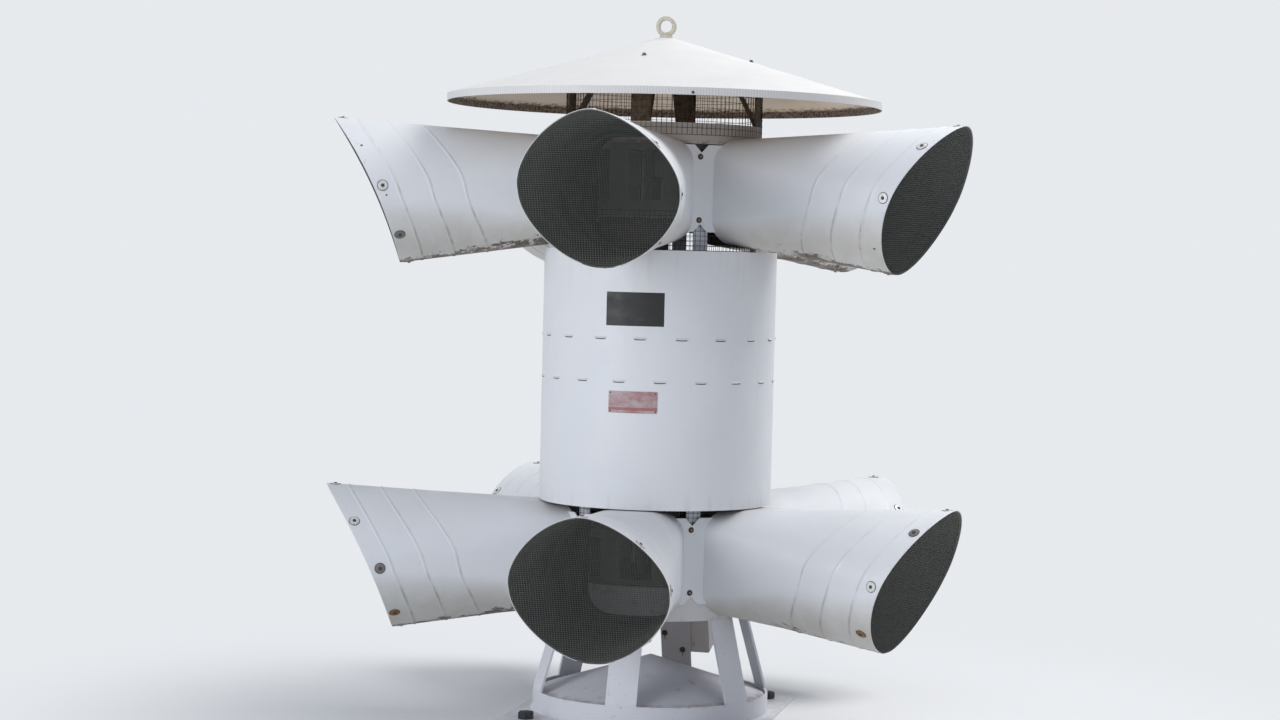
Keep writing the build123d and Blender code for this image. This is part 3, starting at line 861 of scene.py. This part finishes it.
def add_mouth_mesh(shapes, matrix, trim):
    """Welded mesh that follows the mouth's curve: upright wires in front of level ones."""
    setback = screen_setback + trim
    outline = mouth_outline(setback, screen_edge)
    half = max(max(abs(x), abs(y)) for x, y in outline)
    for axis, cell in enumerate(mouth_mesh_cell):
        count = int(half / cell)
        for k in range(-count, count + 1):
            place = (k + mouth_mesh_phase) * cell
            ends = chord(outline, axis, place)
            if not ends:
                continue
            low, high = ends
            if axis == 0:
                steps = max(2, round((high - low) / mouth_wire_step))
                arcs = [low + (high - low) * i / steps for i in range(steps + 1)]
                path = [on_screen(place, arc, setback) for arc in arcs]
            else:
                path = [on_screen(x, place, setback + 2 * mouth_wire) for x in ends]
            shapes.tube(path, mouth_wire, 4, matrix=matrix)
    rim = [on_screen(x, arc, setback) for x, arc in mouth_outline(setback, screen_rim)]
    shapes.tube(rim, screen_rim_wire, 6, closed=True, matrix=matrix)


def build_mouth_meshes():
    for tier, axis in axis_heights.items():
        shapes = Shapes()
        for index in range(horn_count):
            add_mouth_mesh(shapes, horn_frame(axis, index), lip_trim(index))
        shapes.piece(f"{tier}_mouth_mesh", [mesh_zinc], "mouth_wire", [f"{tier}_mouth_screens"])


def build_round_mesh(node, up):
    """Welded mesh rolled round the axis, with hoops outside the uprights."""
    lowest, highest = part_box(node)
    radius, low, high = highest.x, lowest.z, highest.z
    shapes = Shapes()
    count = round(tau * radius / bird_mesh_across)
    hoops = round((high - low) / up)
    for k in range(hoops + 1):
        height = low + bird_wire + (high - low - 2 * bird_wire) * k / hoops
        path = [around(tau * i / count, radius - bird_wire, height) for i in range(count)]
        shapes.tube(path, bird_wire, 5, closed=True)
    inner = radius - 3 * bird_wire
    for i in range(count):
        angle = tau * (i + 0.5) / count
        shapes.tube([around(angle, inner, low), around(angle, inner, high)], bird_wire, 5)
    shapes.piece(node.replace("screen", "mesh"), [mesh_rusty], "screen_wire", [node])


# Fasteners

def add_washer(shapes, matrix, radius=washer_radius, thickness=washer_thickness, finish=0):
    """A pressed fender washer with a rounded edge."""
    edge = thickness * 0.35
    shapes.lathe([
        (radius - edge, 0),
        (radius, edge),
        (radius, thickness - edge),
        (radius - edge, thickness),
        (radius * 0.30, thickness * 1.15),
        (radius * 0.28, 0),
    ], 28, finish, matrix)


def add_head(shapes, matrix, size, sides=24, finish=1):
    """A domed head of a radius and height."""
    outline = [(1, 0), (1.02, 0.25), (0.86, 0.70), (0.50, 0.95), (0, 1)]
    shapes.lathe([(size[0] * r, size[1] * h) for r, h in outline], sides, finish, matrix)


def add_hex(shapes, matrix, across_flats, height, finish=1):
    """A hexagonal nut with chamfered corners."""
    corner = across_flats / sqrt(3)
    outline = [(0.93, 0), (1, 0.10), (1, 0.86), (0.90, 1), (0, 1)]
    shapes.lathe([(corner * r, height * h) for r, h in outline], 6, finish, matrix)


def add_bolt(shapes, matrix, washer, across_flats, height):
    """A hex head on a small washer."""
    add_washer(shapes, matrix, washer, small_washer)
    add_hex(shapes, matrix @ Matrix.Translation((0, 0, small_washer)), across_flats, height)


def on_mouth(axis, index, degrees, behind):
    """A matrix on the horn's outside at a direction and a distance behind the lip."""
    turn, step = radians(degrees), 0.01
    trim = lip_trim(index)
    line, beside = cone_line(turn), cone_line(turn + step)
    s = at_mouth(line, trim) - behind
    here = cone_point(line, s)
    side = cone_point(beside, at_mouth(beside, trim) - behind)
    outward = (side - here).cross(cone_point(line, s + step) - here)
    matrix = horn_frame(axis, index)
    return facing(matrix @ here, matrix.to_3x3() @ outward)


# Washers are numbered from the top. Those off the even pattern have their direction in degrees
# and their distance behind the lip.
moved_washers = {
    ("upper", 1): {5: (225.4, 0.030), 6: (178.7, 0.0325), 7: (128.8, 0.0424)},
    ("upper", 4): {2: (5.5, 0.0348), 3: (317.2, 0.0290)},
    ("lower", 0): {1: (48.4, 0.0350), 2: (5.1, 0.0300)},
    ("lower", 1): {5: (226.1, 0.0417), 6: (177.7, 0.0386), 7: (127.4, 0.0377)},
    ("lower", 4): {1: (43.1, 0.0306), 2: (359.4, 0.0415), 3: (310.5, 0.0290)},
}
lost_washers = {("upper", 1, 5), ("upper", 4, 1)}
grey_washers = {("lower", 1, 7), ("lower", 4, 2), ("upper", 4, 3)}
rusty_washers = {("lower", 4, 3), ("lower", 1, 5)}
bare_hole = ("upper", 4, 358.1, 0.0346)


def build_mouth_washers():
    """The fender washers that hold the screens, and bare holes where one is lost."""
    for tier, axis in axis_heights.items():
        shapes = Shapes()
        for index in range(horn_count):
            moved = moved_washers.get((tier, index), {})
            for k in range(washers_a_mouth):
                key = (tier, index, k)
                even = (90 - 360 * k / washers_a_mouth, washer_setback)
                base = on_mouth(axis, index, *moved.get(k, even))
                if key in lost_washers:
                    add_head(shapes, base, screw_stub, 12)
                    continue
                finish = 2 if key in grey_washers else 3 if key in rusty_washers else 0
                # A thin dark disc a little wider than each washer: painted shadow round its edge.
                add_washer(shapes, base, washer_radius + washer_shadow_width, laid_on, 1)
                add_washer(shapes, base, finish=finish)
                add_head(shapes, base @ Matrix.Translation((0, 0, washer_thickness)), washer_bolt)
        if tier == bare_hole[0]:
            add_head(shapes, on_mouth(axis, *bare_hole[1:]), bare_hole_size, 12)
        finishes = [washer_zinc, bolt_dark, washer_grey, washer_rusty]
        shapes.piece(f"{tier}_mouth_washers", finishes, "mouth_wire")


def build_seam_bolts():
    """Two bolts in each seam's flanges, each on a small washer."""
    for tier, axis in axis_heights.items():
        shapes = Shapes()
        for index in range(horn_count):
            angle = seam_angle + horn_pitch * index - seam_bolt_offset / seam_radius
            for end in (-1, 1):
                height = axis - flange_drop + end * seam_bolt_height
                base = facing(around(angle, hub_radius + 2 * horn_sheet, height), around(angle, 1, 0))
                add_bolt(shapes, base, *seam_bolt)
        shapes.piece(f"{tier}_seam_bolts", [bolt_dark, washer_grey], "bracket_steel")


def build_base_border():
    """The square plate's outer strip, as its corners read in the photograph."""
    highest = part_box("base_plate")[1]
    inner, outer = highest.x, highest.x + plate_margin
    rows = []
    for half, height in ((inner, 0), (outer, 0), (outer, highest.z), (inner, highest.z), (inner, 0)):
        rows.append([(x * half, y * half, height) for x, y in square])
    shapes = Shapes()
    shapes.grid(rows)
    shapes.piece("base_border", [finish_of["base_plate"]], "base_paint", smooth=0)


def build_anchor_nuts():
    """A low heavy nut at each corner of the base plate."""
    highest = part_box("base_plate")[1]
    shapes = Shapes()
    for x, y in square:
        place = Matrix.Translation((x * anchor_place, y * anchor_place, highest.z))
        turn = Matrix.Rotation(anchor_turn + (x + y) * anchor_place, 4, "Z")
        add_hex(shapes, place @ turn, *anchor_nut, 0)
    shapes.piece("anchor_nuts", [shade_and_nut_black], "base_paint")


# Bolts through the back leg into the junction box, as (across the leg, height)
leg_bolts = ((-0.044, 0.257), (0.028, 0.189))
leg_bolt = (0.012, 0.008)
back_leg_turn = radians(178)
leg_head = (0.3626, 0.408)
leg_slope = 0.2956
rust_run = (0.0035, 0.030)


def build_leg_bolts():
    """Two dark bolts on the back leg's inner face, each with a thin run of rust under it."""
    shapes = Shapes()
    side = Vector((-cos(back_leg_turn), -sin(back_leg_turn), 0))
    wide, long = rust_run
    corners = [(x * wide / 2, y * long, laid_on) for x, y in ((-1, -1), (1, -1), (1, 0), (-1, 0))]
    for across, height in leg_bolts:
        radius = leg_head[0] + (leg_head[1] - height) * leg_slope
        point = around(back_leg_turn, radius, height) + across * side
        base = facing(point, around(back_leg_turn, -1, -leg_slope))
        add_head(shapes, base, leg_bolt, 16, 0)
        shapes.add(corners, [[0, 1, 2, 3]], 1, base)
    shapes.piece("leg_bolts", [bolt_dark, washer_rusty], "bracket_steel")


# Shroud details: a patch is given by its middle's height, its width and its own height
shroud_radius = 0.457
patch_lift = 0.0003
louvre_count = 18
louvre_rows = ((1.334, radians(2.8) + pi / louvre_count), (1.497, radians(2.8)))
louvre_drop = 0.009
louvre_shade_strip = (0.044, 0.0030)
louvre_bow = 0.0012
dark_panel = (1.601, 0.227, 0.128)
blank_plate = (1.2485, 0.192, 0.083)
plate_lift = 0.0008
rivet = (0.0032, 0.0014)
rivet_places = (0.088, 0.0345)


def add_patch(shapes, radius, angle, middle, width, height, steps, bow=0.0, edge=laid_on):
    """A thin sheet laid on an upright cylinder, with its edges turned down to it."""
    half = width / radius / 2
    rows = []
    for side, radial, grow in ((-1, -edge, 1), (-1, edge, 0.985), (1, edge, 0.985), (1, -edge, 1)):
        row = []
        for i in range(steps + 1):
            share = 2 * i / steps - 1
            level = middle + side * height / 2 * grow - bow * (1 - share * share)
            row.append(around(angle + share * half * grow, radius + radial, level))
        rows.append(row)
    shapes.grid(rows, closed=False)
    shapes.add([row[0] for row in rows], [[0, 1, 2, 3]])
    shapes.add([row[-1] for row in rows], [[3, 2, 1, 0]])


def build_louvre_shade_strips():
    """A dark strip under each pressed louvre, as painted shade of its slit and of the hood's shadow."""
    shapes = Shapes()
    wide, high = louvre_shade_strip
    for height, start in louvre_rows:
        for i in range(louvre_count):
            angle = start + tau * i / louvre_count
            middle = height - louvre_drop - high / 2
            add_patch(shapes, shroud_radius + patch_lift, angle, middle, wide, high, 8, louvre_bow)
    shapes.piece("louvre_shade_strips", [shade_and_nut_black], "shroud_paint")


def build_shroud_marks():
    """A plain dark panel and a blank riveted plate, where the real cylinder carries marks."""
    shapes = Shapes()
    add_patch(shapes, shroud_radius + patch_lift, 0.0, *dark_panel, 20)
    shapes.piece("dark_panel", [panel_paint()], "shroud_paint")
    shapes = Shapes()
    add_patch(shapes, shroud_radius + plate_lift, 0.0, *blank_plate, 20, edge=plate_lift)
    across, up = rivet_places
    for x, y in square:
        angle = x * across / shroud_radius
        point = around(angle, shroud_radius + 1.5 * plate_lift, blank_plate[0] + y * up)
        add_head(shapes, facing(point, around(angle, 1, 0)), rivet, 12)
    shapes.piece("blank_plate", [plate_paint(), bolt_dark], "shroud_paint")


# Roof and eye

def roof_top(radius):
    """The height of the roof's upper side."""
    return roof_apex - roof_slope * (radius - roof_flat_radius)


def roof_underside(radius):
    return roof_top(radius) - roof_sheet / cos(atan(roof_slope))


def add_strap(shapes, path, matrix):
    """A flat strap bent along a path of (distance from the axis, height) points."""
    rows = []
    for i, (radius, height) in enumerate(path):
        before, after = path[max(i - 1, 0)], path[min(i + 1, len(path) - 1)]
        along = Vector((after[0] - before[0], after[1] - before[1])).normalized()
        side = Vector((-along.y, along.x)) * bracket_sheet / 2
        rows.append([(across * bracket_width / 2, -(radius + out * side.x), height + out * side.y)
                     for across, out in square])
    shapes.grid(rows, 0, matrix)
    shapes.add(rows[0], [[3, 2, 1, 0]], 0, matrix)
    shapes.add(rows[-1], [[0, 1, 2, 3]], 0, matrix)


def build_roof_brackets():
    """Four V brackets: an upright strap with a tab under the roof, and one that leans inward."""
    half = bracket_sheet / 2
    straps, bolts = Shapes(), Shapes()
    foot = bracket_radius - bracket_sheet
    reach = foot
    for _ in range(8):
        reach = foot - bracket_lean * (roof_underside(reach) - bracket_sheet - bracket_foot)
    shelf = [(r, roof_underside(r) - half) for r in (bracket_radius, bracket_radius - bracket_tab)]
    upright = [(bracket_radius, bracket_foot), (bracket_radius, shelf[0][1] - half), shelf[1]]
    leaning = [(foot, bracket_foot), (reach, roof_underside(reach) - bracket_sheet)]
    for i in range(4):
        turn = bracket_turn + i * pi / 2
        for path in (upright, leaning):
            add_strap(straps, path, Matrix.Rotation(turn, 4, "Z"))
        point = around(turn, roof_bolt_radius, roof_top(roof_bolt_radius))
        add_bolt(bolts, facing(point, around(turn, roof_slope, 1)), *roof_bolt)
    point = around(rim_bolt_turn, roof_radius, rim_bolt_height)
    add_head(bolts, facing(point, around(rim_bolt_turn, 1, 0)), rim_bolt, 12, 0)
    replaced = [f"roof_bracket_{k + 1}" for k in range(4)]
    straps.piece("roof_straps", [bracket_steel], "bracket_steel", replaced)
    bolts.piece("roof_bolts", [bolt_dark, washer_grey], "bracket_steel")


def build_lifting_eye():
    """A forged ring on a collar and a short shank."""
    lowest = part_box("eyebolt")[0]
    shapes = Shapes()
    collar = ((0.026, 0), (0.026, 0.009), (0.023, 0.012), (0.013, 0.0125), (0.011, 0.022))
    shapes.lathe([(radius, lowest.z + height) for radius, height in collar], 40)
    steps, sides = 64, 24
    rows = []
    for i in range(steps + 1):
        turn = tau * i / steps
        row = []
        for k in range(sides):
            small = tau * k / sides
            reach = eye_radius + eye_bar * cos(small)
            row.append((reach * cos(turn), eye_bar * sin(small), eye_height + reach * sin(turn)))
        rows.append(row)
    shapes.grid(rows)
    shapes.piece("lifting_eye", [eye_steel()], "eye_steel", ["eyebolt"], smooth=50)


# Camera, floor and light

def build_camera():
    camera = put("camera", bpy.data.cameras.new("camera"))
    camera.data.lens = camera_lens
    camera.data.sensor_width = camera_sensor
    camera.data.clip_end = 200.0
    place = Matrix.Translation((0, -camera_distance, camera_height))
    turn = Matrix.Rotation(-camera_yaw, 4, "Z") @ Matrix.Rotation(pi / 2 + camera_pitch, 4, "X")
    roll = Matrix.Rotation(camera_roll, 4, "Z")
    camera.matrix_world = Matrix.Rotation(camera_azimuth, 4, "Z") @ place @ turn @ roll
    scene.camera = camera


def seen_directly(tree):
    """1 for rays that show the surface in the picture, straight, mirrored or through something clear."""
    path = add_node(tree, "ShaderNodeLightPath").outputs
    value = path["Is Camera Ray"]
    for name in ("Is Glossy Ray", "Is Transmission Ray"):
        value = add_node(tree, "ShaderNodeMath", {0: value, 1: path[name]}, operation="MAXIMUM").outputs[0]
    return value


def build_floor():
    """A pale floor with the shadow near the part; further out it takes the backdrop's colour."""
    mesh = bpy.data.meshes.new("floor")
    mesh.from_pydata([(x * floor_half, y * floor_half, 0) for x, y in square], [], [(0, 1, 2, 3)])
    floor = put("floor", mesh)
    paint = Paint("floor_pale", floor_colour, 0.9)
    far = paint.maths("MULTIPLY", paint.span(paint.radius, *floor_fade), seen_directly(paint.tree))
    glow = add_node(paint.tree, "ShaderNodeEmission", {"Color": (*backdrop_colour, 1), "Strength": 1.0})
    inputs = {0: far, 1: paint.shader.outputs[0], 2: glow.outputs[0]}
    mix = add_node(paint.tree, "ShaderNodeMixShader", inputs)
    output = next(node for node in paint.tree.nodes if node.type == "OUTPUT_MATERIAL")
    paint.tree.links.new(mix.outputs[0], output.inputs["Surface"])
    mesh.materials.append(paint.done())


def area_light(name, place, size, power, colour):
    light = put(name, bpy.data.lights.new(name, "AREA"))
    light.data.shape = "DISK"
    light.data.size = size
    light.data.energy = power
    light.data.color = colour
    light.location = place
    light.rotation_mode = "QUATERNION"
    light.rotation_quaternion = (Vector(light_target) - Vector(place)).to_track_quat("-Z", "Y")


def build_light():
    """Soft light from above and behind on the right, with a weaker fill from the front."""
    area_light("key", (3.2, 2.2, 7.5), 4.5, 430, (1.0, 0.985, 0.96))
    area_light("fill", (-5.0, -7.5, 3.6), 5.0, 330, (0.95, 0.97, 1.0))
    world = bpy.data.worlds.new("studio")
    scene.world = world
    world.use_nodes = True
    tree = world.node_tree
    tree.nodes.clear()
    inputs = {0: seen_directly(tree)}
    for k, (colour, strength) in enumerate(((ambient_colour, ambient_strength), (backdrop_colour, 1.0))):
        light = add_node(tree, "ShaderNodeBackground", {"Color": (*colour, 1), "Strength": strength})
        inputs[k + 1] = light.outputs[0]
    mix = add_node(tree, "ShaderNodeMixShader", inputs)
    add_node(tree, "ShaderNodeOutputWorld", {"Surface": mix.outputs[0]})


build_camera()
build_floor()
build_light()
dress_cad_nodes()
build_horns()
build_mouth_meshes()
for screen_node, cell_height in bird_mesh_up.items():
    build_round_mesh(screen_node, cell_height)
build_mouth_washers()
build_seam_bolts()
build_base_border()
build_anchor_nuts()
build_leg_bolts()
build_louvre_shade_strips()
build_shroud_marks()
build_roof_brackets()
build_lifting_eye()

scene.view_settings.view_transform = "Standard"
